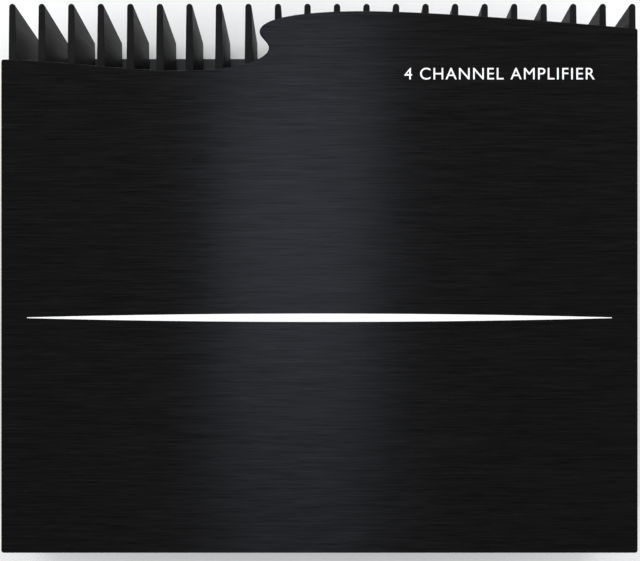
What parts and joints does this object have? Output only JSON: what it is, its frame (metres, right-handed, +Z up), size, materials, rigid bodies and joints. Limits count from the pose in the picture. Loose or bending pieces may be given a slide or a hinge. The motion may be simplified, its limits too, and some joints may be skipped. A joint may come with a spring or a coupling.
{
  "type": "car amplifier",
  "caption": "Flat black four-channel car audio amplifier with finned heatsinks, connector panels at both ends and a brushed cover cut to an S-curve along its rear edge.",
  "frame": {"origin": "middle of the outline in plan, on the plane that the feet stand on", "axes": "+X towards the power and speaker terminals, +Y towards the cover's curved rear edge, +Z up through the cover"},
  "size_m": [0.27, 0.2336, 0.057],
  "materials": {
    "cover_black": "black anodised, fine lengthwise brushing",
    "heatsink_black": "black anodised extrusion, satin",
    "steel_black": "fine black powder coat",
    "zinc_steel": "zinc plated",
    "circuit_board": "green solder mask",
    "moulded_black": "moulded, lightly grained",
    "knob_black": "soft satin",
    "gold": "gold plated",
    "clamp_brass": "plated brass",
    "fuse_orange": "coloured clear plastic",
    "copper_winding": "enamelled copper wire",
    "sleeve_blue": "shrink sleeve",
    "epoxy_black": "moulded epoxy",
    "light_lens": "tinted clear plastic"
  },
  "bodies": {
    "case": {"rear_heatsink": "heatsink_black", "front_heatsink": "heatsink_black", "base_plate": "steel_black", "signal_panel": "steel_black", "power_panel": "steel_black", "mounting_foot_1": "steel_black", "mounting_foot_2": "steel_black", "mounting_foot_3": "steel_black", "mounting_foot_4": "steel_black", "panel_screw_1": "steel_black", "panel_screw_2": "steel_black", "panel_screw_3": "steel_black", "panel_screw_4": "steel_black", "inner_deck": "zinc_steel", "switch_housing": "zinc_steel", "device_clamp_rear": "zinc_steel", "device_clamp_front": "zinc_steel", "main_board": "circuit_board", "control_board": "circuit_board", "input_jack_housing": "moulded_black", "remote_jack": "moulded_black", "power_terminal_block": "moulded_black", "fuse_holder": "moulded_black", "speaker_terminal_block": "moulded_black", "input_jack_1": "gold", "input_jack_2": "gold", "input_jack_3": "gold", "input_jack_4": "gold", "wire_clamp_1": "clamp_brass", "wire_clamp_2": "clamp_brass", "wire_clamp_3": "clamp_brass", "power_transformer": "copper_winding", "output_choke": "copper_winding", "storage_capacitor_1": "sleeve_blue", "storage_capacitor_2": "sleeve_blue", "storage_capacitor_3": "sleeve_blue", "storage_capacitor_4": "sleeve_blue", "power_device_1": "epoxy_black", "power_device_2": "epoxy_black", "power_device_3": "epoxy_black", "power_device_4": "epoxy_black", "control_pot_1": "epoxy_black", "control_pot_2": "epoxy_black", "control_pot_3": "epoxy_black", "control_pot_4": "epoxy_black", "status_light_1": "light_lens", "status_light_2": "light_lens"},
    "cover": {"top_cover": "cover_black"},
    "knob_1": {"control_knob_1": "knob_black"},
    "knob_2": {"control_knob_2": "knob_black"},
    "knob_3": {"control_knob_3": "knob_black"},
    "knob_4": {"control_knob_4": "knob_black"},
    "lever_1": {"switch_lever_1": "moulded_black"},
    "lever_2": {"switch_lever_2": "moulded_black"},
    "lever_3": {"switch_lever_3": "moulded_black"},
    "terminal_screw_1": {"clamp_screw_1": "zinc_steel"},
    "terminal_screw_2": {"clamp_screw_2": "zinc_steel"},
    "terminal_screw_3": {"clamp_screw_3": "zinc_steel"},
    "fuse_1": {"blade_fuse_1": "fuse_orange"},
    "fuse_2": {"blade_fuse_2": "fuse_orange"}
  },
  "joints": [
    {"name": "cover_lift", "type": "slide", "parent": "case", "child": "cover", "axis": [0, 0, 1], "range_m": [0, 0.03]},
    {"name": "knob_1_turn", "type": "hinge", "parent": "case", "child": "knob_1", "pos_m": [-0.1205, 0.002, 0.039], "axis": [-1, 0, 0], "range_deg": [-150, 150]},
    {"name": "knob_2_turn", "type": "hinge", "parent": "case", "child": "knob_2", "pos_m": [-0.1205, -0.016, 0.039], "axis": [-1, 0, 0], "range_deg": [-150, 150]},
    {"name": "knob_3_turn", "type": "hinge", "parent": "case", "child": "knob_3", "pos_m": [-0.1205, -0.034, 0.039], "axis": [-1, 0, 0], "range_deg": [-150, 150]},
    {"name": "knob_4_turn", "type": "hinge", "parent": "case", "child": "knob_4", "pos_m": [-0.1205, -0.052, 0.039], "axis": [-1, 0, 0], "range_deg": [-150, 150]},
    {"name": "lever_1_slide", "type": "slide", "parent": "case", "child": "lever_1", "axis": [0, 1, 0], "range_m": [-0.0023, 0.0023]},
    {"name": "lever_2_slide", "type": "slide", "parent": "case", "child": "lever_2", "axis": [0, 1, 0], "range_m": [-0.0023, 0.0023]},
    {"name": "lever_3_slide", "type": "slide", "parent": "case", "child": "lever_3", "axis": [0, 1, 0], "range_m": [-0.0023, 0.0023]},
    {"name": "terminal_screw_1_turn", "type": "hinge", "parent": "case", "child": "terminal_screw_1", "pos_m": [0.124, -0.052, 0.03], "axis": [0, 0, 1], "range_deg": [0, 900]},
    {"name": "terminal_screw_2_turn", "type": "hinge", "parent": "case", "child": "terminal_screw_2", "pos_m": [0.124, -0.036, 0.03], "axis": [0, 0, 1], "range_deg": [0, 900]},
    {"name": "terminal_screw_3_turn", "type": "hinge", "parent": "case", "child": "terminal_screw_3", "pos_m": [0.124, -0.02, 0.03], "axis": [0, 0, 1], "range_deg": [0, 900]},
    {"name": "fuse_1_pull", "type": "slide", "parent": "case", "child": "fuse_1", "axis": [1, 0, 0], "range_m": [0, 0.025]},
    {"name": "fuse_2_pull", "type": "slide", "parent": "case", "child": "fuse_2", "axis": [1, 0, 0], "range_m": [0, 0.025]}
  ]
}
